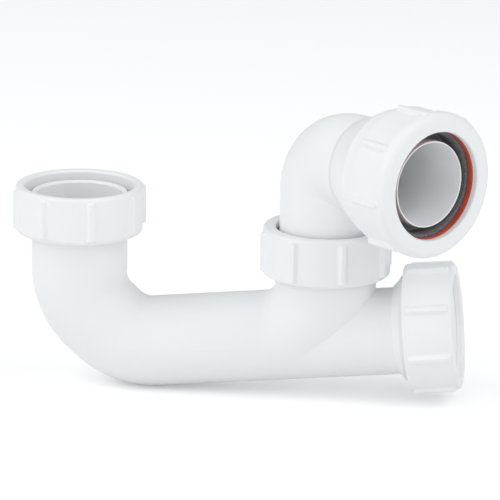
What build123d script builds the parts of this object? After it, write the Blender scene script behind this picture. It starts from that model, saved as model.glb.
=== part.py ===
"""Bath trap for a 1 1/2 inch waste, moulded in polypropylene, with a cleaning eye and a swivel outlet.

Millimetres. The origin is the centre of the inlet spigot's end, +Z points up along the inlet, and +X
points along the trap's tube towards the cleaning eye.
"""
import os
from math import cos, radians, sin, tan

from build123d import *

# Trap body: centre lines of the pipe's runs
riser_height = 68.0
tube_rise = 6.0
branch_distance = 106.3
eye_distance = 155.8
bend_foot = 21.6
bend_radius = 27.0
bend_throat_radius = 19.6
run_lead = 1.5
tee_sweep_radius = 26.0

# Trap body: radii and walls
spigot_radius = 20.5
tube_radius = 19.4
stub_radius = 18.55
neck_radius = 21.6
pipe_wall = 2.0
branch_bore_radius = 19.2
eye_bore_radius = 19.6
spigot_chamfer = 0.9
spigot_edge_radius = 0.5

# Threaded necks of the branch and the cleaning eye
collar_step = 0.7
branch_collar_height = 35.3
branch_collar_length = 6.0
eye_collar_length = 4.1
eye_flare_length = 3.2
thread_length = 10.6
thread_chamfer = 0.8

# Ring nuts of the inlet, the union and the cleaning eye
nut_wall = 4.05
nut_draft = 0.4
nut_height = 20.2
eye_nut_height = 21.2
nut_lip = 3.0
nut_lip_cover = 0.7
nut_edge_radius = 1.3
nut_opening_edge = 0.7
nut_entry_chamfer = 0.9
rib_count = 8
rib_width = 3.1
rib_height = 1.8
rib_margin = 1.3
rib_root = 1.0
rib_edge_radius = 0.7
rib_end_gap = 0.3

# How far each nut is turned, and how far the loose inlet nut stands above its spigot
inlet_nut_rise = 3.4
inlet_nut_turn = -19.5
union_nut_turn = 23.0
eye_nut_turn = 15.0
outlet_nut_turn = 6.0

# Rubber seals and the cleaning eye's plug
seal_width = 2.2
inlet_washer_thickness = 3.0
union_seal_thickness = 3.4
eye_washer_thickness = 2.4
plug_thickness = 3.0
plug_edge_chamfer = 0.6

# Outlet elbow
elbow_radius = 20.05
elbow_wall = 2.4
elbow_turn_radius = 15.0
elbow_insertion = 12.0
outlet_height = 89.25
outlet_turn = 42.0
depth_rib_width = 1.2
depth_rib_height = 0.4
depth_rib_length = 7.0
depth_rib_turn = -60.0

# Outlet socket, measured along the outlet from the branch's axis
arm_length = 24.0
socket_flare = 15.0
socket_collar_step = 1.6
socket_collar_length = 6.3
socket_thread_length = 12.4
socket_wall = 3.45
socket_gap = 0.8
socket_depth = 19.0
socket_mouth = 1.8
sleeve_radius = 18.05
sleeve_wall = 1.5
sleeve_reach = 4.9
sleeve_edge = 0.5

# Outlet nut, slip ring and seal
outlet_nut_wall = 3.3
outlet_nut_draft = 0.4
outlet_flange_step = 1.4
outlet_flange_length = 4.6
outlet_flange_edge = 2.0
outlet_nut_length = 20.2
outlet_lip = 3.0
outlet_opening_gap = 1.1
slip_ring_thickness = 1.8
slip_ring_gap = 0.6
outlet_seal_radius = 21.5
outlet_seal_flange = 3.0
outlet_seal_length = 7.5

# Clearances between pieces
thread_clearance = 0.15
running_clearance = 0.3
seat_clearance = 0.4

# Directions, radii and stations worked out from the sizes above
tube_direction = Vector(cos(radians(tube_rise)), 0, sin(radians(tube_rise)))
tube_normal = Vector(-sin(radians(tube_rise)), 0, cos(radians(tube_rise)))
tube_slope = tan(radians(tube_rise))
outlet_direction = Vector(cos(radians(outlet_turn)), -sin(radians(outlet_turn)), 0)
front = Vector(0, -1, 0)
bend_turn = (90 + tube_rise) / 2
bend_top = bend_foot * (tube_slope + 1 / tan(radians(bend_turn))) - riser_height
bend_tangent = bend_radius * tan(radians(bend_turn / 2)) + run_lead
tee_start = branch_distance - tee_sweep_radius * (1 - sin(radians(tube_rise)))
tee_top = tee_start * tube_slope + tee_sweep_radius * cos(radians(tube_rise)) - riser_height
stub_drop = tube_radius - stub_radius
seal_pipe_radius = max(spigot_radius, elbow_radius + depth_rib_height)
seal_outer_radius = seal_pipe_radius + running_clearance + seal_width
female_radius = seal_outer_radius + running_clearance
pitch_radius = female_radius - thread_clearance
male_radius = pitch_radius - thread_clearance
collar_radius = male_radius - collar_step
nut_open_radius = female_radius + nut_wall
nut_lip_radius = nut_open_radius - nut_draft
nut_opening_radius = female_radius - nut_lip_cover
socket_bore_radius = outlet_seal_radius + socket_gap
slip_ring_radius = outlet_seal_radius + slip_ring_gap
outlet_opening_radius = outlet_seal_radius + outlet_opening_gap
outlet_pitch_radius = socket_bore_radius + socket_wall
outlet_male_radius = outlet_pitch_radius - thread_clearance
outlet_female_radius = outlet_pitch_radius + thread_clearance
socket_collar_radius = outlet_male_radius + socket_collar_step
outlet_nut_radius = outlet_female_radius + outlet_nut_wall
outlet_flange_radius = outlet_nut_radius + outlet_flange_step
outlet_seal_outer = outlet_female_radius - running_clearance
elbow_bore = elbow_radius - elbow_wall
sleeve_bore = sleeve_radius - sleeve_wall
thread_room = nut_height - nut_lip
eye_thread_room = eye_nut_height - nut_lip

# Planes that the pieces stand on, each with its z along that piece's axis
tube_seat = Plane((0, 0, -riser_height), x_dir=front, z_dir=tube_direction)
stub_seat = Plane(tube_seat.origin - tube_normal * stub_drop, x_dir=front, z_dir=tube_direction)
branch_neck_length = branch_collar_length + thread_length
branch_seat = Plane((branch_distance, 0, branch_collar_height - riser_height), x_dir=front, z_dir=(0, 0, 1))
eye_neck_length = eye_collar_length + thread_length
eye_seat = tube_seat.offset(eye_distance - eye_neck_length)
outlet_seat = Plane(
    (branch_distance, 0, outlet_height - riser_height), x_dir=(0, 0, 1), z_dir=outlet_direction
)
socket_face = arm_length + socket_flare + socket_collar_length + socket_thread_length
socket_face_seat = outlet_seat.offset(socket_face)
inlet_nut_seat = Plane((0, 0, inlet_nut_rise), x_dir=front, z_dir=(0, 0, -1))
inlet_washer_seat = inlet_nut_seat.offset(thread_room - inlet_washer_thickness)
union_seal_seat = branch_seat.offset(branch_neck_length)
union_nut_seat = union_seal_seat.offset(union_seal_thickness - thread_room)
eye_washer_seat = tube_seat.offset(eye_distance)
plug_seat = eye_washer_seat.offset(eye_washer_thickness)
eye_nut_seat = plug_seat.offset(plug_thickness - eye_thread_room)
outlet_seal_seat = socket_face_seat.offset(seat_clearance)
slip_ring_seat = outlet_seal_seat.offset(outlet_seal_flange)
outlet_lip_seat = slip_ring_seat.offset(slip_ring_thickness)
outlet_nut_seat = outlet_lip_seat.offset(outlet_lip - outlet_nut_length)


def axial_section(seat):
    """The plane through a seat's axis, with its y along that axis, for profiles of revolution."""
    return Plane(seat.origin, x_dir=seat.x_dir, z_dir=-seat.y_dir)


def turned(seat, points):
    """A solid of revolution about a seat's axis, from a closed outline of (radius, station) points."""
    with BuildPart() as solid:
        with BuildSketch(axial_section(seat)):
            with BuildLine():
                Polyline(*points, close=True)
            make_face()
        revolve(axis=Axis(seat.origin, seat.z_dir))
    return solid.part


def ring(seat, inner, outer, thickness):
    """A flat ring that stands on its seat."""
    with BuildPart() as solid:
        with BuildSketch(seat):
            Circle(outer)
            Circle(inner, mode=Mode.SUBTRACT)
        extrude(amount=thickness)
    return solid.part


def pipe_run(riser, throat, tube, branch, stub, stub_end):
    """One skin of the trap: riser, flattened bend, rising tube, swept tee and the cleaning eye's stub."""
    with BuildPart() as run:
        with BuildSketch(Plane.XY):
            Circle(riser)
        extrude(amount=bend_top + bend_tangent)
        with BuildLine(Plane.XZ) as bend:
            FilletPolyline(
                (0, bend_top + bend_tangent),
                (0, bend_top),
                (bend_foot, bend_foot * tube_slope - riser_height),
                (
                    bend_foot + bend_tangent * tube_direction.X,
                    bend_foot * tube_slope + bend_tangent * tube_direction.Z - riser_height,
                ),
                radius=bend_radius,
            )
        with BuildSketch(Plane(bend.line @ 0, x_dir=front, z_dir=bend.line % 0)):
            Circle(riser)
        with BuildSketch(Plane(bend.line @ 0.5, x_dir=front, z_dir=bend.line % 0.5)):
            Circle(throat)
        with BuildSketch(Plane(bend.line @ 1, x_dir=front, z_dir=bend.line % 1)):
            Circle(tube)
        sweep(multisection=True)
        tube_start = bend_foot / tube_direction.X + bend_tangent
        tube_end = tee_start / tube_direction.X
        with BuildSketch(tube_seat.offset(tube_start)):
            Circle(tube)
        extrude(amount=tube_end - tube_start)
        with BuildLine(Plane.XZ) as tee:
            JernArc(
                (tee_start, tee_start * tube_slope - riser_height),
                (tube_direction.X, tube_direction.Z),
                tee_sweep_radius,
                90 - tube_rise,
            )
        with BuildSketch(Plane(tee.line @ 0, x_dir=front, z_dir=tee.line % 0)):
            Circle(tube)
        with BuildSketch(Plane(tee.line @ 1, x_dir=front, z_dir=tee.line % 1)):
            Circle(branch)
        sweep(multisection=True)
        with BuildSketch(stub_seat.offset(tube_end - run_lead)):
            Circle(stub)
        extrude(amount=stub_end - tube_end + run_lead)
    return run.part


def elbow_skin(radius, foot, arm_end):
    """One skin of the elbow: upright tube, tight turn with a creased inside, and the arm."""
    turn_height = outlet_seat.origin.Z - elbow_turn_radius
    turn_plane = Plane((branch_distance, 0, turn_height), x_dir=outlet_direction, z_dir=(0, 0, 1))
    turn_axis = Axis(turn_plane.origin + outlet_direction * elbow_turn_radius, turn_plane.y_dir)
    with BuildPart() as skin:
        with BuildSketch(Plane((branch_distance, 0, foot))):
            Circle(radius)
        extrude(amount=turn_height - foot)
        with BuildSketch(turn_plane):
            Circle(radius)
            with Locations((elbow_turn_radius, 0)):
                Rectangle(radius, 2 * radius, align=(Align.MIN, Align.CENTER), mode=Mode.SUBTRACT)
        revolve(axis=turn_axis, revolution_arc=90)
        with BuildSketch(outlet_seat.offset(elbow_turn_radius)):
            Circle(radius)
        extrude(amount=arm_end - elbow_turn_radius)
    return skin.part


def threaded_neck(seat, foot, foot_radius, length, collar):
    """A neck that stands on its foot, steps out to a collar and ends in a plain thread cylinder."""
    return turned(
        seat,
        [
            (0, -foot),
            (foot_radius, -foot),
            (neck_radius, 0),
            (collar_radius, 0),
            (collar_radius, collar),
            (male_radius, collar),
            (male_radius, length - thread_chamfer),
            (male_radius - thread_chamfer, length),
            (0, length),
        ],
    )


def grip_ribs(seat, first_turn, radius, low, high):
    """Rounded ribs along the outside of a nut, from one station to another."""
    with BuildPart() as ribs:
        with BuildSketch(seat.offset(low)):
            with PolarLocations(radius + (rib_height - rib_root) / 2, rib_count, start_angle=first_turn):
                Rectangle(rib_height + rib_root, rib_width)
        extrude(amount=high - low)
        outside = radius + rib_height / 2
        axis = Axis(seat.origin, seat.z_dir)
        edges_out = ribs.edges().filter_by(
            lambda edge: (edge.center() - axis.position).cross(axis.direction).length > outside
        )
        fillet(edges_out, radius=rib_edge_radius)
    return ribs.part


def ring_nut(seat, first_turn, height=nut_height):
    """A ribbed ring nut with its open end on the seat and its lip at the far end."""
    with BuildPart() as nut:
        with BuildSketch(axial_section(seat)):
            with BuildLine():
                Polyline(
                    (female_radius, 0),
                    (nut_open_radius, 0),
                    (nut_lip_radius, height),
                    (nut_opening_radius, height),
                    (nut_opening_radius, height - nut_lip),
                    (female_radius, height - nut_lip),
                    close=True,
                )
            make_face()
            fillet(vertices().sort_by(Axis.X)[-2:], radius=nut_edge_radius)
            fillet(vertices().group_by(Axis.Y)[-1].sort_by(Axis.X)[0], radius=nut_opening_edge)
            chamfer(vertices().group_by(Axis.Y)[0].sort_by(Axis.X)[0], length=nut_entry_chamfer)
        revolve(axis=Axis(seat.origin, seat.z_dir))
        add(grip_ribs(seat, first_turn, nut_lip_radius, rib_margin, height - rib_margin))
    return nut.part


# Trap body: outer skins and necks, less the waterway, the elbow's socket and the cleaning eye's bore
branch_foot = branch_seat.origin.Z - tee_top
eye_base = eye_distance - eye_neck_length
socket_stop = branch_neck_length - elbow_insertion - seat_clearance
pipe_skin = pipe_run(spigot_radius, bend_throat_radius, tube_radius, neck_radius, stub_radius, eye_base)
waterway = pipe_run(
    spigot_radius - pipe_wall,
    bend_throat_radius - pipe_wall,
    tube_radius - pipe_wall,
    branch_bore_radius,
    stub_radius - pipe_wall,
    eye_base,
)
branch_neck = threaded_neck(branch_seat, branch_foot, neck_radius, branch_neck_length, branch_collar_length)
eye_neck = threaded_neck(eye_seat, eye_flare_length, stub_radius, eye_neck_length, eye_collar_length)
with BuildPart() as trap_body:
    add(pipe_skin)
    add(branch_neck)
    add(eye_neck)
    add(waterway, mode=Mode.SUBTRACT)
    with BuildSketch(branch_seat.offset(-branch_foot)):
        Circle(branch_bore_radius)
    extrude(amount=branch_foot + socket_stop, mode=Mode.SUBTRACT)
    with BuildSketch(branch_seat.offset(socket_stop)):
        Circle(elbow_radius + running_clearance)
    extrude(amount=branch_neck_length - socket_stop, mode=Mode.SUBTRACT)
    with BuildSketch(eye_seat):
        Circle(eye_bore_radius)
    extrude(amount=eye_neck_length, mode=Mode.SUBTRACT)
    chamfer(trap_body.edges().group_by(Axis.Z)[-1].sort_by(SortBy.LENGTH)[0], length=spigot_chamfer)
    fillet(trap_body.edges().group_by(Axis.Z)[-1].sort_by(SortBy.LENGTH)[-1], radius=spigot_edge_radius)

# Inlet nut and the washer that it carries
with BuildPart() as inlet_nut:
    add(ring_nut(inlet_nut_seat, inlet_nut_turn))

with BuildPart() as inlet_washer:
    add(ring(inlet_washer_seat, spigot_radius + running_clearance, seal_outer_radius, inlet_washer_thickness))

# Union nut and the seal that it squeezes round the elbow's tube
with BuildPart() as union_nut:
    add(ring_nut(union_nut_seat, union_nut_turn))

union_seal_bore = elbow_radius + depth_rib_height + running_clearance
with BuildPart() as union_seal:
    add(ring(union_seal_seat, union_seal_bore, seal_outer_radius, union_seal_thickness))

# Cleaning eye: nut, plug and washer
with BuildPart() as eye_nut:
    add(ring_nut(eye_nut_seat, eye_nut_turn, eye_nut_height))

with BuildPart() as eye_plug:
    with BuildSketch(plug_seat):
        Circle(seal_outer_radius)
    extrude(amount=plug_thickness)
    chamfer(eye_plug.edges(), length=plug_edge_chamfer)

with BuildPart() as eye_washer:
    add(ring(eye_washer_seat, eye_bore_radius, seal_outer_radius, eye_washer_thickness))

# Outlet elbow: skins, threaded socket and inner sleeve, less the waterway and the room for the waste pipe
elbow_foot = branch_seat.origin.Z + branch_neck_length - elbow_insertion
socket_floor = socket_face - socket_depth
sleeve_end = socket_face + sleeve_reach
elbow_outside = elbow_skin(elbow_radius, elbow_foot, arm_length)
elbow_waterway = elbow_skin(elbow_bore, elbow_foot, arm_length)
socket = turned(
    outlet_seat,
    [
        (0, arm_length),
        (elbow_radius, arm_length),
        (socket_collar_radius, arm_length + socket_flare),
        (socket_collar_radius, socket_face - socket_thread_length),
        (outlet_male_radius, socket_face - socket_thread_length),
        (outlet_male_radius, socket_face - thread_chamfer),
        (outlet_male_radius - thread_chamfer, socket_face),
        (0, socket_face),
    ],
)
pipe_room = turned(
    outlet_seat,
    [
        (sleeve_radius, socket_floor),
        (socket_bore_radius, socket_floor),
        (socket_bore_radius, socket_face - socket_mouth),
        (socket_bore_radius + socket_mouth, socket_face),
        (sleeve_radius, socket_face),
    ],
)
sleeve = turned(
    outlet_seat,
    [
        (0, socket_floor),
        (sleeve_radius, socket_floor),
        (sleeve_radius, sleeve_end - sleeve_edge),
        (sleeve_radius - sleeve_edge, sleeve_end),
        (0, sleeve_end),
    ],
)
sleeve_waterway = turned(
    outlet_seat,
    [
        (0, arm_length),
        (elbow_bore, arm_length),
        (sleeve_bore, arm_length + socket_flare),
        (sleeve_bore, sleeve_end),
        (0, sleeve_end),
    ],
)
with BuildPart() as outlet_elbow:
    add(elbow_outside)
    add(socket)
    add(pipe_room, mode=Mode.SUBTRACT)
    add(sleeve)
    add(elbow_waterway, mode=Mode.SUBTRACT)
    add(sleeve_waterway, mode=Mode.SUBTRACT)
    with BuildSketch(union_nut_seat.offset(nut_height - nut_lip / 2)):
        with PolarLocations(elbow_radius, 1, start_angle=depth_rib_turn):
            Rectangle(2 * depth_rib_height, depth_rib_width)
    extrude(amount=depth_rib_length)

# Outlet nut
with BuildPart() as outlet_nut:
    barrel_end = outlet_nut_length - outlet_flange_length
    with BuildSketch(axial_section(outlet_nut_seat)):
        with BuildLine():
            Polyline(
                (outlet_female_radius, 0),
                (outlet_nut_radius + outlet_nut_draft, 0),
                (outlet_nut_radius, barrel_end),
                (outlet_flange_radius, barrel_end),
                (outlet_flange_radius, outlet_nut_length),
                (outlet_opening_radius, outlet_nut_length),
                (outlet_opening_radius, outlet_nut_length - outlet_lip),
                (outlet_female_radius, outlet_nut_length - outlet_lip),
                close=True,
            )
        make_face()
        flange_corners = vertices().group_by(Axis.X)[-1].sort_by(Axis.Y)
        fillet(flange_corners[1], radius=outlet_flange_edge)
        fillet(vertices().group_by(Axis.X)[-1].sort_by(Axis.Y)[0], radius=nut_opening_edge)
        fillet(vertices().group_by(Axis.Y)[-1].sort_by(Axis.X)[0], radius=nut_opening_edge)
        fillet(vertices().group_by(Axis.Y)[0].sort_by(Axis.X)[-1], radius=nut_opening_edge)
    revolve(axis=Axis(outlet_nut_seat.origin, outlet_nut_seat.z_dir))
    add(grip_ribs(outlet_nut_seat, outlet_nut_turn, outlet_nut_radius, rib_margin, barrel_end - rib_end_gap))

# Slip ring and cone seal of the outlet
with BuildPart() as slip_ring:
    add(ring(slip_ring_seat, slip_ring_radius, outlet_seal_outer, slip_ring_thickness))

seal_tail = outlet_seal_flange - outlet_seal_length
tail_radius = socket_bore_radius - running_clearance
cone_seal = turned(
    outlet_seal_seat,
    [
        (outlet_seal_radius, seal_tail),
        (tail_radius, seal_tail),
        (tail_radius, -socket_mouth - seat_clearance),
        (tail_radius + socket_mouth, -seat_clearance),
        (tail_radius + socket_mouth, 0),
        (outlet_seal_outer, 0),
        (outlet_seal_outer, outlet_seal_flange),
        (outlet_seal_radius, outlet_seal_flange),
    ],
)
with BuildPart() as outlet_seal:
    add(cone_seal)

pieces = {
    "trap_body": trap_body,
    "inlet_nut": inlet_nut,
    "inlet_washer": inlet_washer,
    "union_nut": union_nut,
    "union_seal": union_seal,
    "eye_nut": eye_nut,
    "eye_plug": eye_plug,
    "eye_washer": eye_washer,
    "outlet_elbow": outlet_elbow,
    "outlet_nut": outlet_nut,
    "slip_ring": slip_ring,
    "outlet_seal": outlet_seal,
}
os.makedirs("parts", exist_ok=True)
for name, piece in pieces.items():
    piece.part.label = name
    export_step(piece.part, f"parts/{name}.step")
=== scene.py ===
# %% [markdown]
# A bath trap in white polypropylene: the looks
#
# The trap is a bent waste pipe that keeps a plug of water under a bath. It was drawn as solids
# first, and this notebook dresses those solids in Blender. The trap's body keeps its solid shape
# and gets a finish. The elbow, the nuts, the rubber rings, the plug and the threads are made here
# again with softer edges and finer detail, in the same place, so each one still turns and slides
# with its own body. Lengths are written in millimetres as on the drawing, and one factor turns them
# into Blender's metres.

import math

import bpy
import numpy as np
from mathutils import Matrix, Vector


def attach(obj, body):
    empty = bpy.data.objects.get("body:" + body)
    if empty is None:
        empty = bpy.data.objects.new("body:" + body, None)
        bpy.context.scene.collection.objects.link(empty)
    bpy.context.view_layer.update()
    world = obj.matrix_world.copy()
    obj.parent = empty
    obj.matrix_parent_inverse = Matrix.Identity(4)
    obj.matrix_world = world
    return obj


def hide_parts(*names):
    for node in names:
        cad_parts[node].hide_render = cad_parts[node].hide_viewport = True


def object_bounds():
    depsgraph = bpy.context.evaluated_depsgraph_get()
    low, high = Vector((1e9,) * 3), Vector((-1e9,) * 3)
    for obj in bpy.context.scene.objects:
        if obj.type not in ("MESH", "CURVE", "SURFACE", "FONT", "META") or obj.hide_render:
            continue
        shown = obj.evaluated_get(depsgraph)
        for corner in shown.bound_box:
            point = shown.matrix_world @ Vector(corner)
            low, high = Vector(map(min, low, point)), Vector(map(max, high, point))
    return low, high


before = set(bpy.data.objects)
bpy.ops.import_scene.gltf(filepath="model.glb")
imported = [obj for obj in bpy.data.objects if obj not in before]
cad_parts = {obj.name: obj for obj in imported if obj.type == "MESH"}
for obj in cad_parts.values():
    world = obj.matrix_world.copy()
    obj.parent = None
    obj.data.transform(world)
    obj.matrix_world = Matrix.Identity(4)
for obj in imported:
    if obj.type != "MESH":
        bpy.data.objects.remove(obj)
solid_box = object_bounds()
MM = 0.001
print("solids:", ", ".join(sorted(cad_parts)))

# %% [markdown]
# The camera
#
# The photograph was taken from nearly in front, a little to the right and from above, with a long
# lens, so that upright edges stay upright. A camera can be placed by hand until things line up, but
# here its angles come from fitting the nuts' ellipses, so it is built from those angles: where it
# looks from, how much it leans, and how many pixels of a 500 pixel picture the lens spreads over
# one unit of slope.

# %% Camera
CAMERA_TARGET = np.array([73.64, 0.0, -22.13])
CAMERA_DISTANCE = 1531.9
CAMERA_TURN, CAMERA_HEIGHT, CAMERA_LEAN = np.radians([7.65, 15.62, 0.81])
PICTURE_WIDTH = 500
LENS_PIXELS = 3600
SENSOR = 36.0


def camera_axes(turn, height, lean):
    """Right, up and back of a camera that stands turn to the right of -Y and height above level.

    Back points from the target to the camera. Right and up are the level frame round it, leaned by
    one turn.
    """
    back = np.array([
        math.sin(turn) * math.cos(height),
        -math.cos(turn) * math.cos(height),
        math.sin(height),
    ])
    level = np.array([math.cos(turn), math.sin(turn), 0.0])
    upright = np.cross(back, level)
    right = math.cos(lean) * level + math.sin(lean) * upright
    return right, np.cross(back, right), back


right, up, back = camera_axes(CAMERA_TURN, CAMERA_HEIGHT, CAMERA_LEAN)
camera_data = bpy.data.cameras.new("camera")
camera_data.sensor_width = SENSOR
camera_data.lens = SENSOR * LENS_PIXELS / PICTURE_WIDTH
camera_data.clip_end = 100.0
camera = bpy.data.objects.new("camera", camera_data)
place = (CAMERA_TARGET + CAMERA_DISTANCE * back) * MM
camera.matrix_world = Matrix(np.column_stack([right, up, back, place]).tolist() + [[0, 0, 0, 1]])
bpy.context.scene.collection.objects.link(camera)
bpy.context.scene.camera = camera
print("camera lens", round(camera_data.lens, 1), "mm, at", place.round(3))

# %% [markdown]
# Colours and shader nodes
#
# Colours are easiest to judge as the hex values of a paint program, but a shader works with linear
# light. One function does that change for every colour in the file. One more function adds a shader
# node, sets its values and links its inputs, so that each finish below reads as a short list.

# %% Two helpers for finishes


def paint(hex_colour):
    """Linear RGBA of an sRGB hex colour: value / 12.92 up to 0.04045, then the 2.4 power curve."""
    value = np.array([int(hex_colour[i:i + 2], 16) for i in (1, 3, 5)]) / 255
    linear = np.where(value <= 0.04045, value / 12.92, ((value + 0.055) / 1.055) ** 2.4)
    return (*linear.tolist(), 1.0)


def add_node(tree, kind, settings=None, links=(), **inputs):
    """Adds one node, sets its properties and its inputs, and returns it.

    A named input gets a value, or the output socket that feeds it. Outputs in links feed the inputs
    in their order.
    """
    node = tree.nodes.new(kind)
    for name, value in (settings or {}).items():
        setattr(node, name, value)
    for name, value in inputs.items():
        label = name.replace("_", " ")
        socket = next(s for s in node.inputs if s.enabled and s.name.lower() == label)
        if isinstance(value, bpy.types.NodeSocket):
            tree.links.new(value, socket)
        else:
            socket.default_value = value
    for output, socket in zip(links, node.inputs):
        tree.links.new(output, socket)
    return node


def new_finish(name):
    """A material with an empty shader tree, and that tree."""
    material = bpy.data.materials.new(name)
    material.use_nodes = True
    material.node_tree.nodes.clear()
    return material, material.node_tree


print("white is", [round(c, 3) for c in paint("#ffffff")])

# %% [markdown]
# White polypropylene, moulded
#
# The trap and its nuts are injection moulded in polypropylene filled white. The tool is smooth but
# not polished, so the skin has a satin gloss, slightly uneven where the plastic shrank behind thick
# places. The shrink is a slow swell over about 14 mm, and the tool's grain is really about 0.1 mm,
# too fine for the picture, so it is drawn at 0.5 mm. The colour wanders by a few parts in a hundred
# along the way that the plastic flowed.

# %% White polypropylene
SINK_MM = 14.0
SINK_DEPTH_MM = 0.12
GRAIN_MM = 0.5
GRAIN_DEPTH_MM = 0.02
FLOW_MM = 45.0

white_polypropylene, tree = new_finish("white_polypropylene_moulded")
where = add_node(tree, "ShaderNodeTexCoord").outputs["Object"]
flow = add_node(
    tree, "ShaderNodeTexNoise", {"noise_dimensions": "3D"},
    vector=where, scale=1 / (FLOW_MM * MM), detail=2.0, roughness=0.5,
)
tint = add_node(tree, "ShaderNodeValToRGB", fac=flow.outputs["Fac"])
tint.color_ramp.elements[0].position = 0.3
tint.color_ramp.elements[0].color = paint("#f6f8f9")
tint.color_ramp.elements[1].position = 0.7
tint.color_ramp.elements[1].color = paint("#f9fafb")
sink = add_node(
    tree, "ShaderNodeTexNoise", {"noise_dimensions": "3D"},
    vector=where, scale=1 / (SINK_MM * MM), detail=1.0, roughness=0.4,
)
sink_bump = add_node(
    tree, "ShaderNodeBump",
    strength=0.25, distance=SINK_DEPTH_MM * MM, height=sink.outputs["Fac"],
)
grain = add_node(
    tree, "ShaderNodeTexNoise", {"noise_dimensions": "3D"},
    vector=where, scale=1 / (GRAIN_MM * MM), detail=2.0, roughness=0.6,
)
grain_bump = add_node(
    tree, "ShaderNodeBump",
    strength=0.12, distance=GRAIN_DEPTH_MM * MM,
    height=grain.outputs["Fac"], normal=sink_bump.outputs["Normal"],
)
gloss = add_node(
    tree, "ShaderNodeMapRange",
    value=grain.outputs["Fac"], from_min=0.3, from_max=0.7, to_min=0.42, to_max=0.5,
)
skin = add_node(
    tree, "ShaderNodeBsdfPrincipled",
    base_color=tint.outputs["Color"], roughness=gloss.outputs["Result"], ior=1.49,
    normal=grain_bump.outputs["Normal"],
)
add_node(tree, "ShaderNodeOutputMaterial", surface=skin.outputs["BSDF"])
print("made", white_polypropylene.name)

# %% [markdown]
# Red polythene and black rubber
#
# The slip ring lets the nut turn against the rubber without dragging it round. It is a thin
# moulding of soft polythene, dyed right through, with a waxy gloss; its red is painted a little
# lighter than the dye, as painted light for a ring that sits in the nut's shade. The seals are
# carbon black rubber with a matt skin, dusted with moulding powder in specks of about 0.3 mm, drawn
# at
# 0.6 mm so that they show. Their grey is painted far lighter than carbon black, as painted sheen
# and light on rubber that sits in shade.

# %% Red polythene
WAX_MM = 6.0

red_polythene, tree = new_finish("red_polythene_moulded")
where = add_node(tree, "ShaderNodeTexCoord").outputs["Object"]
wax = add_node(
    tree, "ShaderNodeTexNoise", {"noise_dimensions": "3D"},
    vector=where, scale=1 / (WAX_MM * MM), detail=2.0, roughness=0.5,
)
# Partly painted light: the red is the ring's own dye, made a little lighter than it is so that the
# ring reads brighter in the nut's shade.
dye_and_painted_light = add_node(tree, "ShaderNodeValToRGB", fac=wax.outputs["Fac"])
dye_and_painted_light.color_ramp.elements[0].position = 0.3
dye_and_painted_light.color_ramp.elements[0].color = paint("#c8492f")
dye_and_painted_light.color_ramp.elements[1].position = 0.7
dye_and_painted_light.color_ramp.elements[1].color = paint("#d5573d")
skin = add_node(
    tree, "ShaderNodeBsdfPrincipled", base_color=dye_and_painted_light.outputs["Color"], roughness=0.38, ior=1.51,
)
add_node(tree, "ShaderNodeOutputMaterial", surface=skin.outputs["BSDF"])
print("made", red_polythene.name)

# %% Black rubber
POWDER_MM = 0.6
TOOTH_MM = 0.04

black_rubber, tree = new_finish("black_rubber_moulded")
where = add_node(tree, "ShaderNodeTexCoord").outputs["Object"]
powder = add_node(
    tree, "ShaderNodeTexNoise", {"noise_dimensions": "3D"},
    vector=where, scale=1 / (POWDER_MM * MM), detail=3.0, roughness=0.65,
)
# Partly painted sheen: the specks stand for real moulding powder, but their grey is lifted far above
# carbon black so that the rubber reads lighter in its shade.
dust_and_painted_sheen = add_node(tree, "ShaderNodeValToRGB", fac=powder.outputs["Fac"])
dust_and_painted_sheen.color_ramp.elements[0].position = 0.35
dust_and_painted_sheen.color_ramp.elements[0].color = paint("#56575a")
dust_and_painted_sheen.color_ramp.elements[1].position = 0.75
dust_and_painted_sheen.color_ramp.elements[1].color = paint("#8c8d90")
tooth = add_node(
    tree, "ShaderNodeBump",
    strength=0.3, distance=TOOTH_MM * MM, height=powder.outputs["Fac"],
)
skin = add_node(
    tree, "ShaderNodeBsdfPrincipled",
    base_color=dust_and_painted_sheen.outputs["Color"], roughness=0.62, ior=1.52, normal=tooth.outputs["Normal"],
)
add_node(tree, "ShaderNodeOutputMaterial", surface=skin.outputs["BSDF"])
print("made", black_rubber.name)

# %% [markdown]
# From a grid of points to a mesh
#
# Every new piece is a ring of some kind: a section carried once round an axis. So its points are a
# grid, with the section's points as rows and the turn round the axis as columns, and the grid
# closes on itself both ways like the skin of a tyre. Modelling it by hand with Spin or Screw would
# work too, but with arrays a rib, a thread or a ridge is one more term in the sum. The mesh is
# filled with foreach_set, and the volume's sign tells if the faces look out.


def dressed_piece(name, mesh, finish, body, stands_for):
    """An object for a finished mesh that rides on a body and hides the solid that it stands for."""
    mesh.materials.append(finish)
    piece = bpy.data.objects.new(name, mesh)
    bpy.context.scene.collection.objects.link(piece)
    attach(piece, body)
    if stands_for:
        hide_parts(stands_for)
    return piece


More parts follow.
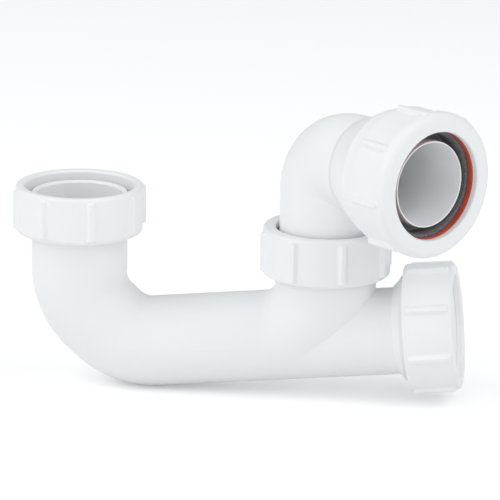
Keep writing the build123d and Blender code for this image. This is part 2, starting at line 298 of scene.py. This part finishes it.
def ring_mesh(name, points, finish, body, stands_for=None):
    """A closed mesh from points[row, column], joined round both ways, that rides on a body.

    Each face takes four neighbouring points. The volume is the sum of a . (b x c) over the faces'
    triangles; where it is negative the faces look inwards, so they are turned round.
    """
    rows, columns = points.shape[:2]
    index = np.arange(rows * columns).reshape(rows, columns)
    across = np.roll(index, -1, axis=1)
    around = [index, across, np.roll(across, -1, axis=0), np.roll(index, -1, axis=0)]
    faces = np.stack(around, axis=-1).reshape(-1, 4)
    flat = points.reshape(-1, 3) * MM
    a, b, c, d = (flat[faces[:, k]] for k in range(4))
    volume = np.einsum("ij,ij->", a, np.cross(b, c)) + np.einsum("ij,ij->", a, np.cross(c, d))
    if volume < 0:
        faces = faces[:, ::-1]
    mesh = bpy.data.meshes.new(name)
    mesh.vertices.add(len(flat))
    mesh.vertices.foreach_set("co", flat.ravel())
    mesh.loops.add(faces.size)
    mesh.loops.foreach_set("vertex_index", faces.ravel().astype(np.int32))
    mesh.polygons.add(len(faces))
    mesh.polygons.foreach_set("loop_start", np.arange(0, faces.size, 4, dtype=np.int32))
    mesh.polygons.foreach_set("use_smooth", np.ones(len(faces), dtype=bool))
    mesh.update(calc_edges=True)
    filled = round(abs(volume) / (6 * MM ** 3))
    print(name, "has", 2 * len(faces), "triangles and", filled, "cubic millimetres")
    return dressed_piece(name, mesh, finish, body, stands_for)


# %% [markdown]
# A section with rounded corners
#
# A moulded edge is never sharp. Blender's Bevel could round a mesh after it is made, but then the
# size of each rounding is hard to keep. Here a section is a list of corners, each with its own
# radius, and the arcs are worked out before the section goes round its axis.

# %% Rounded section
ARC_STEPS = 6
TOUCH = 0.01


def rounded_section(corners, spacing, wall_end=2, stops=()):
    """Points (radius, station) round a closed section, and a column that marks its outer wall.

    A corner is (radius, station, rounding). The two sides leave it along unit vectors. Half of the
    angle between them gives the distance to the tangent points, rounding / tan(half), and to the
    arc's centre, rounding / sin(half). The arc's points turn evenly from one tangent point to the
    other. More points fill the straight sides at the given spacing, and at the stations in stops on
    the outer wall, which runs from corner 1 to corner wall_end.
    """
    table = np.array(corners, float)
    corner, rounding = table[:, :2], table[:, 2:]
    to_last = np.roll(corner, 1, axis=0) - corner
    to_next = np.roll(corner, -1, axis=0) - corner
    to_last /= np.linalg.norm(to_last, axis=1, keepdims=True)
    to_next /= np.linalg.norm(to_next, axis=1, keepdims=True)
    half = np.arccos(np.sum(to_last * to_next, axis=1, keepdims=True)) / 2
    middle = to_last + to_next
    middle /= np.linalg.norm(middle, axis=1, keepdims=True)
    centre = corner + middle * rounding / np.sin(half)
    first = corner + to_last * rounding / np.tan(half) - centre
    last = corner + to_next * rounding / np.tan(half) - centre
    turn = math.pi - 2 * half
    share = np.linspace(0, 1, ARC_STEPS)
    from_first = np.sin((1 - share) * turn)[:, :, None] * first[:, None]
    from_last = np.sin(share * turn)[:, :, None] * last[:, None]
    arc = (from_first + from_last) / np.sin(turn)[:, :, None]
    outline = (arc + centre[:, None]).reshape(-1, 2)
    closed = np.vstack([outline, outline[:1]])
    run = np.concatenate([[0], np.cumsum(np.linalg.norm(np.diff(closed, axis=0), axis=1))])
    wall = slice(2 * ARC_STEPS - 1, wall_end * ARC_STEPS + 1)
    marks = np.interp(stops, closed[wall, 1], run[wall])
    evenly = np.arange(0, run[-1], spacing)
    filled = np.unique(np.concatenate([run[:-1], evenly, marks]).round(4))
    section = np.column_stack([np.interp(filled, run, closed[:, k]) for k in range(2)])
    on_wall = (filled >= run[wall][0]) & (filled <= run[wall][-1])
    return section, on_wall[:, None]


square, _ = rounded_section([(1, 0, 0.2), (2, 0, 0.2), (2, 1, 0.2), (1, 1, 0.2)], 0.5)
print("a rounded square has", len(square), "points")

# %% [markdown]
# Axes
#
# Each ring has an axis, a front from which its turn is counted, and a side a quarter turn on. The
# four axes of the trap are those of the inlet, the branch, the tube with the cleaning eye, and the
# outlet.

# %% Axes of the trap
TUBE_RISE, OUTLET_TURN = np.radians([6.0, 42.0])
BRANCH = 106.3
OUTLET_HEIGHT = 21.25
RISER = 68.0


def axis_frame(origin, axis, front):
    """Origin, axis, front and side = axis x front, so that turns are right-handed."""
    axis, front = np.array(axis, float), np.array(front, float)
    return np.array(origin, float), axis, front, np.cross(axis, front)


FRONT = (0, -1, 0)
TUBE_WAY = (math.cos(TUBE_RISE), 0, math.sin(TUBE_RISE))
OUTLET_WAY = (math.cos(OUTLET_TURN), -math.sin(OUTLET_TURN), 0)
INLET = axis_frame((0, 0, 0), (0, 0, -1), FRONT)
UNION = axis_frame((BRANCH, 0, 0), (0, 0, 1), FRONT)
EYE = axis_frame((0, 0, -RISER), TUBE_WAY, FRONT)
OUTLET = axis_frame((BRANCH, 0, OUTLET_HEIGHT), OUTLET_WAY, (0, 0, 1))


def on_axis(axis, out, over, station):
    """Points at out along the front, over along the side and station along the axis of a frame."""
    origin, along, front, side = axis
    return origin + out[..., None] * front + over[..., None] * side + station[..., None] * along


def full_turn(columns):
    """The angles of so many columns, evenly once round: 2 pi x column number / columns."""
    return np.linspace(0, 2 * math.pi, columns, endpoint=False)


print("the outlet leaves along", OUTLET[1].round(3))

# %% [markdown]
# Screw threads
#
# The nuts have coarse right-hand threads of 2.5 mm pitch, as plastic threads have, with rounded
# crests. On the solids they are plain cylinders. Seen along the axis a thread is a wave that moves
# on by one pitch in each turn, so the same wave cuts a groove in the nut and raises a ridge on the
# neck. Both count their turns from the same front, so the ridge lies in the groove, also while the
# nut is unscrewed.

# %% Thread wave
PITCH = 2.5
THREAD_DEPTH = 0.75
THREAD_FADE = 1.5
THREAD_FLANK = 0.3
GROOVE_SHARE = 0.5
RIDGE_SHARE = 0.36


def thread_wave(station, turn, share, start, end):
    """From 0 on the flat to 1 on the crest, at a station and turn, fading out near start and end.

    The phase is station / pitch - turn / (2 pi). The crest takes this share of each pitch: a
    triangle wave is stretched and clipped, and a smooth step softens it.
    """
    phase = (station / PITCH - turn / (2 * math.pi)) % 1.0
    crest = np.clip((share / 2 - np.abs(phase - 0.5)) / THREAD_FLANK + 0.5, 0, 1)
    crest = crest * crest * (3 - 2 * crest)
    run_in = np.clip((station - start) / THREAD_FADE, 0, 1)
    run_out = np.clip((end - station) / THREAD_FADE, 0, 1)
    return crest * run_in * run_out


print("a thread of", PITCH, "mm pitch stands", THREAD_DEPTH, "mm high")

# %% [markdown]
# Ribbed nuts
#
# All four nuts are gripped by eight bars on the outside. Between two bars the wall is a plain cone.
# A bar has sloped flanks, a rounded top, a small hollow at its foot and a rounded nose at each end.
# Boolean unions would join bars and wall with sharp seams, so the skin is worked out as the smooth
# maximum of two heights, the wall's and the bar's. The columns of the grid are bunched on the bars.

# %% Bars of a ribbed nut
RIB_COUNT = 8
RIB_BASE = 4.3
RIB_TOP = 1.7
RIB_HEIGHT = 1.8
RIB_EDGE = 0.5
RIB_FOOT = 0.8
RIB_NOSE = 0.8
RIB_SINK = 3.0
HOLLOW = 0.25
EDGE_COLUMNS = 5
FLANK_COLUMNS = 8
WALL_COLUMNS = 8
NUT_STEP = 0.4


def rib_columns(base, height):
    """Middle angle, offset from it and lift of each column, for bars that stand on this radius.

    Half a bar runs along the flat top, an arc that turns down into the flank, the flank, and the
    flank's line on past the foot. The bare wall follows to half way to the next bar, and the other
    half is the mirror image.
    """
    lean = (RIB_BASE - RIB_TOP) / 2
    slope = math.atan2(height, lean)
    tangent = RIB_TOP / 2 - RIB_EDGE * math.tan(slope / 2)
    arc = np.linspace(0, slope, EDGE_COLUMNS)
    top = np.array([0, tangent / 2])
    round_over = tangent + RIB_EDGE * np.sin(arc)
    flank = np.linspace(round_over[-1], RIB_BASE / 2 + RIB_FOOT, FLANK_COLUMNS)[1:]
    over = np.concatenate([top, round_over, flank])
    lift = np.concatenate([
        np.full(len(top), height),
        height - RIB_EDGE * (1 - np.cos(arc)),
        (RIB_BASE / 2 - flank) * height / lean,
    ])
    bare = np.linspace(np.arcsin(over[-1] / base), math.pi / RIB_COUNT, WALL_COLUMNS)[1:]
    offset = np.concatenate([np.arcsin(over / base), bare])
    lift = np.concatenate([lift, np.full(len(bare), -RIB_SINK)])
    offset = np.concatenate([-offset[-2:0:-1], offset])
    lift = np.concatenate([lift[-2:0:-1], lift])
    middle = np.repeat(np.arange(RIB_COUNT) * 2 * math.pi / RIB_COUNT, len(offset))
    return middle, np.tile(offset, RIB_COUNT), np.tile(lift, RIB_COUNT)


def ribbed_nut(name, axis, first_rib, open_end, corners, wall_end, bars, thread):
    """A ribbed nut: the section goes round the axis, with bars outside and a thread inside.

    A bar's height is base - sink + (lift + sink) x nose, where nose is a quarter ellipse at each
    end. The skin is (wall + bar + root of ((wall - bar) squared + hollow squared)) / 2. The bore is
    the larger of the section's radius and bore + depth x thread wave.
    """
    base, height, low, high = bars
    bore, start, end = thread
    rise = RIB_NOSE * (1 - np.cos(np.linspace(0, math.pi / 2, ARC_STEPS)))
    stops = np.concatenate([low + rise, high - rise])
    section, on_wall = rounded_section(corners, NUT_STEP, wall_end, stops)
    radius, level = section[:, :1], section[:, 1:]
    middle, offset, lift = rib_columns(base, height)
    turn = middle + offset + math.radians(first_rib)
    station = open_end + np.broadcast_to(level, (len(section), len(turn)))
    wave = thread_wave(station, turn, GROOVE_SHARE, open_end + start, open_end + end)
    in_bore = (radius > bore - TOUCH) & (radius < bore + THREAD_DEPTH)
    grown = np.where(in_bore, np.maximum(radius, bore + THREAD_DEPTH * wave), radius)
    to_end = np.clip(np.minimum(level - low, high - level) / RIB_NOSE, 0, 1)
    bar = base - RIB_SINK + (lift + RIB_SINK) * np.sqrt(1 - (1 - to_end) ** 2)
    wall = grown * np.cos(offset)
    out = np.where(on_wall, (wall + bar + np.sqrt((wall - bar) ** 2 + HOLLOW ** 2)) / 2, wall)
    over = grown * np.sin(offset)
    rib_turn = middle + math.radians(first_rib)
    points = on_axis(
        axis,
        out * np.cos(rib_turn) - over * np.sin(rib_turn),
        out * np.sin(rib_turn) + over * np.cos(rib_turn),
        station,
    )
    return ring_mesh(name + "_moulding", points, white_polypropylene, name, name)


print("bars are", RIB_BASE, "mm wide at the foot and", RIB_TOP, "mm at the top")

# %% [markdown]
# The three ring nuts
#
# The inlet, the union and the cleaning eye have nuts of the same tool, with a lip that turns in at
# one end. The inlet's nut stands loose, open end up. The other two have their lip outwards. Each
# was left where the hand stopped turning it, so each has its own first bar. The threads of the
# union and the eye run out at the open end, and the inlet's thread starts deeper, behind a plain
# lead-in.

# %% Inlet, union and cleaning eye nuts
NUT_BORE = 23.3
NUT_OPENING = 21.6
NUT_OPEN_RADIUS = 27.35
NUT_LIP_RADIUS = 26.95
NUT_LIP = 3.0
NUT_ENTRY = 0.9
NUT_EDGE = 1.3
RIB_MARGIN = 1.3
SMALL_EDGE = 0.3
LIP_EDGE = 0.8
RELIEF = 3.6
# The outer wall runs from corner 1 to this corner.
RING_WALL_END = 2


def ring_nut(name, axis, first_rib, open_end, height, thread_start):
    """A ring nut from its open end: rim, coned wall, lip, step under the lip and threaded bore."""
    under_lip = height - NUT_LIP
    corners = [
        (NUT_BORE + NUT_ENTRY, 0, SMALL_EDGE),
        (NUT_OPEN_RADIUS, 0, NUT_EDGE),
        (NUT_LIP_RADIUS, height, NUT_EDGE),
        (NUT_OPENING, height, LIP_EDGE),
        (NUT_OPENING, under_lip, SMALL_EDGE),
        (NUT_BORE, under_lip, SMALL_EDGE),
        (NUT_BORE, NUT_ENTRY, SMALL_EDGE),
    ]
    bars = (NUT_LIP_RADIUS, RIB_HEIGHT, RIB_MARGIN, height - RIB_MARGIN)
    thread = (NUT_BORE, thread_start, under_lip - RELIEF)
    return ribbed_nut(name, axis, first_rib, open_end, corners, RING_WALL_END, bars, thread)


# Axis, turn of the first bar in degrees, station of the open end, height, and the thread's start.
RING_NUTS = {
    "inlet_nut": (INLET, -20.9, -3.4, 20.2, 5.5),
    "union_nut": (UNION, 21.4, -29.9, 20.2, -THREAD_FADE),
    "eye_nut": (EYE, 13.7, 143.0, 21.2, -THREAD_FADE),
}
for name, measures in RING_NUTS.items():
    ring_nut(name, *measures)

# %% [markdown]
# The outlet nut
#
# The nut on the outlet is larger, because it holds a slip ring and a cone seal round the waste
# pipe. Its mouth ends in a flange with a well rounded edge. Its bars run on over the flange and
# stop where that edge begins.

# %% Outlet nut
OUTLET_BORE = 25.9
OUTLET_OPENING = 22.6
OUTLET_BARREL = 29.2
OUTLET_DRAFT = 0.4
OUTLET_FLANGE = 30.6
FLANGE_BACK = 15.6
FLANGE_EDGE = 3.4
OUTLET_LENGTH = 21.6
OUTLET_LIP = 3.0
OUTLET_RIB_HEIGHT = 2.2
OUTLET_RIB_END = 18.5
OUTLET_FIRST_RIB = 7.5
OUTLET_OPEN_END = 45.7
OUTLET_THREAD_END = 13.0
BARREL_EDGE = 0.5
FLANGE_BACK_EDGE = 0.7
OUTLET_WALL_END = 4

# Radius, station and rounding of each corner.
outlet_corners = [
    (OUTLET_BORE, 0, BARREL_EDGE),
    (OUTLET_BARREL + OUTLET_DRAFT, 0, LIP_EDGE),
    (OUTLET_BARREL, FLANGE_BACK, BARREL_EDGE),
    (OUTLET_FLANGE, FLANGE_BACK, FLANGE_BACK_EDGE),
    (OUTLET_FLANGE, OUTLET_LENGTH, FLANGE_EDGE),
    (OUTLET_OPENING, OUTLET_LENGTH, LIP_EDGE),
    (OUTLET_OPENING, OUTLET_LENGTH - OUTLET_LIP, SMALL_EDGE),
    (OUTLET_BORE, OUTLET_LENGTH - OUTLET_LIP, SMALL_EDGE),
]
outlet_bars = (OUTLET_BARREL, OUTLET_RIB_HEIGHT, RIB_MARGIN, OUTLET_RIB_END)
outlet_thread = (OUTLET_BORE, -THREAD_FADE, OUTLET_THREAD_END)
ribbed_nut(
    "outlet_nut", OUTLET, OUTLET_FIRST_RIB, OUTLET_OPEN_END, outlet_corners,
    OUTLET_WALL_END, outlet_bars, outlet_thread,
)

# %% [markdown]
# The threads on the necks
#
# A nut that is unscrewed shows the thread that it ran on. Each neck gets a thin threaded skin, sunk
# into the plain neck, whose ridge stands a little lower and narrower than the groove that it runs
# in.

# %% Neck threads
NECK_SKIN = 0.6
NECK_PROUD = 0.03
NECK_EDGE = 0.1
NECK_STEP = 0.25
RING_COLUMNS = 180


def neck_thread(name, axis, radius, start, end, body):
    """A thin sleeve round a neck: radius + depth x thread wave outside, plain wall inside."""
    inner, outer = radius - NECK_SKIN, radius + NECK_PROUD
    around = [(inner, start), (outer, start), (outer, end), (inner, end)]
    corners = [(*corner, NECK_EDGE) for corner in around]
    section, on_wall = rounded_section(corners, NECK_STEP)
    turn = full_turn(RING_COLUMNS)
    station = np.broadcast_to(section[:, 1:], (len(section), len(turn)))
    ridge = on_wall * THREAD_DEPTH * thread_wave(station, turn, RIDGE_SHARE, start, end)
    grown = section[:, :1] + ridge
    points = on_axis(axis, grown * np.cos(turn), grown * np.sin(turn), station)
    return ring_mesh(name, points, white_polypropylene, body)


# Axis, radius of the plain neck, the thread's start and end, and the body that carries the neck.
NECKS = {
    "branch_neck_thread": (UNION, 23.0, -26.5, -16.9, "trap_body"),
    "eye_neck_thread": (EYE, 23.0, 145.4, 155.0, "trap_body"),
    "outlet_neck_thread": (OUTLET, 25.6, 45.5, 56.9, "outlet_elbow"),
}
for name, measures in NECKS.items():
    neck_thread(name, *measures)

# %% [markdown]
# Washers, seals and the slip ring
#
# These are plain rings with soft edges. Rubber comes out of its tool with generous roundings. The
# cone seal is the one that shows, deep in the outlet: fine ridges run round its inside, to grip the
# waste pipe. The real ridges are finer than the 1.35 mm at which they are drawn here. The slip ring
# is a thin polythene washer that keeps the turning nut off the rubber.

# %% Rubber rings and slip ring
SEAL_EDGE = 0.7
SLIP_EDGE = 0.35
SLIP_BORE, SLIP_RADIUS, SLIP_BACK, SLIP_FACE = 22.5, 25.6, 61.7, 64.2
FLAT_STEP = 1.0


def turned_ring(name, axis, section, finish, body, stands_for):
    """A plain ring: radius and station from the section, columns evenly round the axis."""
    turn = full_turn(RING_COLUMNS)
    radius = section[:, :1]
    station = np.broadcast_to(section[:, 1:], (len(section), RING_COLUMNS))
    points = on_axis(axis, radius * np.cos(turn), radius * np.sin(turn), station)
    return ring_mesh(name, points, finish, body, stands_for)


def flat_ring(inner, outer, start, end, edge):
    """The section of a flat ring between two radii and two stations, with edges rounded alike."""
    around = [(inner, start), (outer, start), (outer, end), (inner, end)]
    return rounded_section([(*corner, edge) for corner in around], FLAT_STEP)[0]


# Axis, inner and outer radius with start and end, body, and the solid that the ring stands for.
RUBBER_RINGS = {
    "inlet_washer_rubber": (INLET, (20.8, 23.0, 10.8, 13.8), "inlet_washer", "inlet_washer"),
    "union_seal_rubber": (UNION, (20.75, 23.0, -16.1, -12.7), "union_seal", "union_seal"),
    "eye_washer_rubber": (EYE, (19.6, 23.0, 155.8, 158.2), "eye_plug", "eye_washer"),
}
for name, (axis, measures, body, solid) in RUBBER_RINGS.items():
    turned_ring(name, axis, flat_ring(*measures, SEAL_EDGE), black_rubber, body, solid)
slip_section = flat_ring(SLIP_BORE, SLIP_RADIUS, SLIP_BACK, SLIP_FACE, SLIP_EDGE)
turned_ring("slip_ring_moulding", OUTLET, slip_section, red_polythene, "slip_ring", "slip_ring")

# %% Cone seal with gripping ridges
SEAL_BORE, SEAL_SKIRT, SEAL_CONE, SEAL_FLANGE = 21.5, 22.0, 23.8, 25.6
SEAL_START, CONE_START, CONE_END, SEAL_FLANGE_BACK, SEAL_END = 53.6, 55.9, 57.7, 58.1, 61.6
RIDGE_PITCH = 1.35
RIDGE_HEIGHT = 0.55
RIDGE_STEP = 0.12

# Radius, station and rounding of each corner.
seal_corners = [
    (SEAL_BORE, SEAL_START, 0.15),
    (SEAL_SKIRT, SEAL_START, 0.15),
    (SEAL_SKIRT, CONE_START, 0.3),
    (SEAL_CONE, CONE_END, 0.2),
    (SEAL_CONE, SEAL_FLANGE_BACK, 0.1),
    (SEAL_FLANGE, SEAL_FLANGE_BACK, 0.5),
    (SEAL_FLANGE, SEAL_END, 0.5),
    (SEAL_BORE, SEAL_END, 0.5),
]
seal_section, _ = rounded_section(seal_corners, RIDGE_STEP)
in_bore = seal_section[:, 0] < SEAL_BORE + TOUCH
ridge = RIDGE_HEIGHT * np.abs(np.sin(math.pi * seal_section[:, 1] / RIDGE_PITCH))
seal_section[:, 0] -= in_bore * ridge
turned_ring("outlet_seal_rubber", OUTLET, seal_section, black_rubber, "outlet_elbow", "outlet_seal")

# %% [markdown]
# The plug of the cleaning eye
#
# A moulded disc closes the end of the tube. Its face is dished a little, as a flat moulding sinks
# when it cools, and its rim stays flat under the nut's lip. Its section starts and ends on the
# axis, so the grid needs a pole on each face instead of the tyre's second seam.

# %% Plug
PLUG_RADIUS = 23.0
PLUG_FACE, PLUG_BACK = 161.2, 158.2
PLUG_EDGE = 0.6
DISH_RADIUS = 19.5
DISH_DEPTH = 0.5
DISH_ROWS = 12
PLUG_COLUMNS = 120


def disc_mesh(name, axis, section, finish, body, stands_for):
    """A closed disc: the section goes round the axis, and its two ends are single points on it."""
    turn = full_turn(PLUG_COLUMNS)
    radius, level = section[1:-1, :1], section[1:-1, 1:]
    station = np.broadcast_to(level, (len(level), PLUG_COLUMNS))
    skin = on_axis(axis, radius * np.cos(turn), radius * np.sin(turn), station).reshape(-1, 3)
    poles = on_axis(axis, np.zeros(2), np.zeros(2), section[[0, -1], 1])
    index = np.arange(len(skin)).reshape(-1, PLUG_COLUMNS)
    across = np.roll(index, -1, axis=1)
    quads = np.stack([index[:-1], across[:-1], across[1:], index[1:]], axis=-1).reshape(-1, 4)
    first = np.column_stack([np.full(PLUG_COLUMNS, len(skin)), across[0], index[0]])
    last = np.column_stack([np.full(PLUG_COLUMNS, len(skin) + 1), index[-1], across[-1]])
    mesh = bpy.data.meshes.new(name)
    faces = quads.tolist() + first.tolist() + last.tolist()
    mesh.from_pydata((np.vstack([skin, poles]) * MM).tolist(), [], faces)
    mesh.shade_smooth()
    print(name, "has", 2 * len(quads) + 2 * PLUG_COLUMNS, "triangles")
    return dressed_piece(name, mesh, finish, body, stands_for)


reach = np.linspace(0, 1, DISH_ROWS)
sag = DISH_DEPTH * (1 + np.cos(math.pi * reach)) / 2
dish = np.column_stack([DISH_RADIUS * reach, PLUG_FACE - sag])
corner = np.linspace(0, math.pi / 2, ARC_STEPS)
rim_out = PLUG_RADIUS - PLUG_EDGE + PLUG_EDGE * np.sin(corner)
rim = PLUG_EDGE * (1 - np.cos(corner))
plug_section = np.vstack([
    dish,
    np.column_stack([rim_out, PLUG_FACE - rim]),
    np.column_stack([rim_out, PLUG_BACK + rim])[::-1],
    [(DISH_RADIUS, PLUG_BACK), (0, PLUG_BACK)],
])
disc_mesh("eye_plug_moulding", EYE, plug_section, white_polypropylene, "eye_plug", "eye_plug")

# %% [markdown]
# The outlet elbow
#
# One moulding carries the water from the branch to the outlet: an upright tube, a turn so tight
# that its inside is a crease, an arm, a socket with a thread outside, and a thin sleeve that the
# waste pipe slips over. Bending a tube with a Curve would fold it on the inside of the turn. Here
# each line along the tube is worked out by itself: it runs up, turns on its own radius and runs out
# along the arm, and on the inside that radius never falls below a small rounding. Outer skin,
# socket, sleeve and inner skin follow each other as rows of one closed grid.

# %% Skins of the elbow
ELBOW_RADIUS = 20.05
ELBOW_BORE = 17.65
ELBOW_FOOT = -28.1
TURN_RADIUS = 15.0
CREASE = 0.8
ARM_END = 24.0
ELBOW_COLUMNS = 288
UPRIGHT_ROWS = 50
CORNER_ROWS = 18
ARM_ROWS = 6
DEPTH_RIB_TURN = math.radians(108)
DEPTH_RIB_HEIGHT = 0.4
DEPTH_RIB_HALF = 0.6
DEPTH_RIB_FLANK = 0.3
DEPTH_RIB_SLOPE = 0.4
DEPTH_RIB_LOW, DEPTH_RIB_HIGH = -11.2, -4.2


def elbow_rows(radius, rib_height):
    """Height above the arm's axis, side way and distance along the arm of one skin's rows.

    The rows run from the foot to the arm's end. A line at x = radius x cos(turn) towards the outlet
    bends on the smooth maximum of turn radius - x and the crease's rounding. It goes up at distance
    x, round a quarter circle, and out along the arm at x below the arm's axis. The depth mark adds
    its height to the radius where the turn and the height are within its edges.
    """
    turn = full_turn(ELBOW_COLUMNS)
    x, side = radius * np.cos(turn), radius * np.sin(turn)
    inward = TURN_RADIUS - x
    bend = (inward + CREASE + np.sqrt((inward - CREASE) ** 2 + CREASE ** 2 / 4)) / 2
    top = OUTLET_HEIGHT - x - bend
    rise = np.linspace(0, 1, UPRIGHT_ROWS)[:, None]
    corner = np.linspace(0, math.pi / 2, CORNER_ROWS)[1:-1, None]
    reach = np.linspace(0, 1, ARM_ROWS)[:-1, None]
    height = np.vstack([
        ELBOW_FOOT + rise * (top - ELBOW_FOOT),
        top + bend * np.sin(corner),
        np.tile(OUTLET_HEIGHT - x, (len(reach), 1)),
    ])
    along = np.vstack([
        np.tile(x, (len(rise), 1)),
        x + bend * (1 - np.cos(corner)),
        x + bend + reach * (ARM_END - x - bend),
    ])
    off_mark = np.abs(turn - DEPTH_RIB_TURN) * radius
    across = np.clip((DEPTH_RIB_HALF - off_mark) / DEPTH_RIB_FLANK + 0.5, 0, 1)
    to_end = np.minimum(height - DEPTH_RIB_LOW, DEPTH_RIB_HIGH - height)
    mark = across * np.clip(to_end / DEPTH_RIB_SLOPE, 0, 1)
    along = along + rib_height * mark * np.cos(turn)
    return height - OUTLET_HEIGHT, side + rib_height * mark * np.sin(turn), along


outer_rows = elbow_rows(ELBOW_RADIUS, DEPTH_RIB_HEIGHT)
inner_rows = elbow_rows(ELBOW_BORE, 0.0)
print("each skin of the elbow has", len(outer_rows[0]), "rows")

# %% Socket and sleeve of the elbow
COLLAR, SOCKET_THREAD, SOCKET_MOUTH, SOCKET_BORE = 27.2, 25.6, 24.1, 22.3
FLARE_END, COLLAR_END, MOUTH_START, SOCKET_FACE = 39.0, 45.3, 55.9, 57.7
SOCKET_FLOOR = 38.7
SLEEVE, SLEEVE_MOUTH, SLEEVE_BORE = 18.05, 17.4, 16.9
SLEEVE_TAPER, SLEEVE_END = 45.0, 62.6
SOCKET_STEP = 1.2
JOIN_RADIUS, JOIN_STATION = 0.02, 0.05

# Radius, station and rounding of each corner.
socket_corners = [
    (ELBOW_RADIUS, ARM_END, TOUCH),
    (COLLAR, FLARE_END, 1.5),
    (COLLAR, COLLAR_END, 0.5),
    (SOCKET_THREAD, COLLAR_END, 0.3),
    (SOCKET_THREAD, SOCKET_FACE, 0.6),
    (SOCKET_MOUTH, SOCKET_FACE, 0.3),
    (SOCKET_BORE, MOUTH_START, 0.3),
    (SOCKET_BORE, SOCKET_FLOOR, 0.6),
    (SLEEVE, SOCKET_FLOOR, 0.6),
    (SLEEVE, SLEEVE_END, 0.25),
    (SLEEVE_MOUTH, SLEEVE_END, 0.25),
    (SLEEVE_BORE, SLEEVE_TAPER, 2.0),
    (ELBOW_BORE, ARM_END, TOUCH),
]
socket, _ = rounded_section(socket_corners, SOCKET_STEP)
in_wall = (socket[:, 0] > ELBOW_BORE + JOIN_RADIUS) & (socket[:, 0] < ELBOW_RADIUS - JOIN_RADIUS)
socket = socket[~(in_wall & (socket[:, 1] < ARM_END + JOIN_STATION))]
turn = full_turn(ELBOW_COLUMNS)
socket_rows = (
    -socket[:, :1] * np.cos(turn),
    socket[:, :1] * np.sin(turn),
    np.tile(socket[:, 1:], (1, ELBOW_COLUMNS)),
)
elbow_grid = [
    np.vstack([outer, joint, inner[::-1]])
    for outer, joint, inner in zip(outer_rows, socket_rows, inner_rows)
]
elbow_points = on_axis(OUTLET, *elbow_grid)
ring_mesh(
    "outlet_elbow_moulding", elbow_points, white_polypropylene, "outlet_elbow", "outlet_elbow",
)

# %% [markdown]
# The finish of the trap's body
#
# The trap's body keeps the shape of its solid, with its bend, its swept tee and its two necks. Its
# mesh is never touched, only the material in its slot is changed.

# %% Finish on the solid that stays
body_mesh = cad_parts["trap_body"].data
body_mesh.materials.clear()
body_mesh.materials.append(white_polypropylene)
print("trap_body wears", white_polypropylene.name)

# %% [markdown]
# Floor and background
#
# A plain white floor runs under the trap and fills the picture. It keeps the object's soft shadow,
# because its white is mostly reflected light, and only a small glow for the camera's rays brings
# the rest of it up to white.

# %% Floor
# The floor and the lamps are large, so their lengths are in metres.
FLOOR_REACH = 30.0
FLOOR_GLOW = 0.3

floor_finish, tree = new_finish("white_paper")
rays = add_node(tree, "ShaderNodeLightPath").outputs
seen = add_node(
    tree, "ShaderNodeMath", {"operation": "MAXIMUM"}, [rays["Is Camera Ray"], rays["Is Glossy Ray"]],
)
level = add_node(tree, "ShaderNodeMapRange", value=seen.outputs["Value"], to_max=FLOOR_GLOW)
paper = add_node(tree, "ShaderNodeBsdfDiffuse", color=paint("#f4f4f4"))
glow = add_node(tree, "ShaderNodeEmission", color=paint("#ffffff"), strength=level.outputs["Result"])
both = add_node(tree, "ShaderNodeAddShader", None, [paper.outputs["BSDF"], glow.outputs["Emission"]])
add_node(tree, "ShaderNodeOutputMaterial", surface=both.outputs["Shader"])

floor_height = solid_box[0].z
edge = FLOOR_REACH / 2
floor_corners = [(-edge, -edge), (edge, -edge), (edge, edge), (-edge, edge)]
floor_mesh = bpy.data.meshes.new("floor")
floor_mesh.from_pydata([(x, y, floor_height) for x, y in floor_corners], [], [(0, 1, 2, 3)])
floor_mesh.materials.append(floor_finish)
floor = bpy.data.objects.new("floor", floor_mesh)
bpy.context.scene.collection.objects.link(floor)
print("floor at", round(floor_height / MM, 2), "mm")

# %% [markdown]
# Light
#
# The photograph was lit by broad soft lights on all sides of a white room, strongest from the upper
# left. So large square lamps stand round the front half of the trap, and a plain pale world stands
# in for the room. Their powers were first found by rendering each lamp alone and solving for the
# mix that gives the photograph's tones, and were then adjusted by trial.

# %% World
ROOM_STRENGTH = 0.55

bpy.context.scene.view_settings.view_transform = "Standard"
world = bpy.data.worlds.new("white_room")
world.use_nodes = True
world.node_tree.nodes.clear()
tree = world.node_tree
seen = add_node(tree, "ShaderNodeLightPath").outputs["Is Camera Ray"]
room = add_node(tree, "ShaderNodeBackground", color=paint("#f2f5f8"), strength=ROOM_STRENGTH)
white = add_node(tree, "ShaderNodeBackground", color=paint("#ffffff"), strength=1.0)
shades = [seen, room.outputs["Background"], white.outputs["Background"]]
choice = add_node(tree, "ShaderNodeMixShader", None, shades)
add_node(tree, "ShaderNodeOutputWorld", surface=choice.outputs["Shader"])
bpy.context.scene.world = world
print("world", world.name)

# %% Lamps
LAMP_DISTANCE = 1.5
LAMP_SIZE = 1.2
# Direction from the trap to the lamp, and power in watts.
LAMPS = {
    "front_lamp": ((0.13, -0.95, 0.27), 1.5),
    "front_left_lamp": ((-0.7, -0.9, 0.3), 3.4),
    "right_lamp": ((1.0, -0.3, 0.7), 3.6),
    "top_left_lamp": ((-0.8, -0.3, 0.9), 6.0),
    "top_right_lamp": ((0.8, -0.3, 0.9), 3.2),
}
for name, (direction, power) in LAMPS.items():
    lamp = bpy.data.lights.new(name, "AREA")
    lamp.size = LAMP_SIZE
    lamp.energy = power
    lamp_object = bpy.data.objects.new(name, lamp)
    away = Vector(direction).normalized()
    lamp_object.location = Vector(CAMERA_TARGET * MM) + away * LAMP_DISTANCE
    lamp_object.rotation_mode = "QUATERNION"
    lamp_object.rotation_quaternion = away.to_track_quat("Z", "Y")
    bpy.context.scene.collection.objects.link(lamp_object)
    print(name, power, "watts, at", [round(v, 2) for v in lamp_object.location])
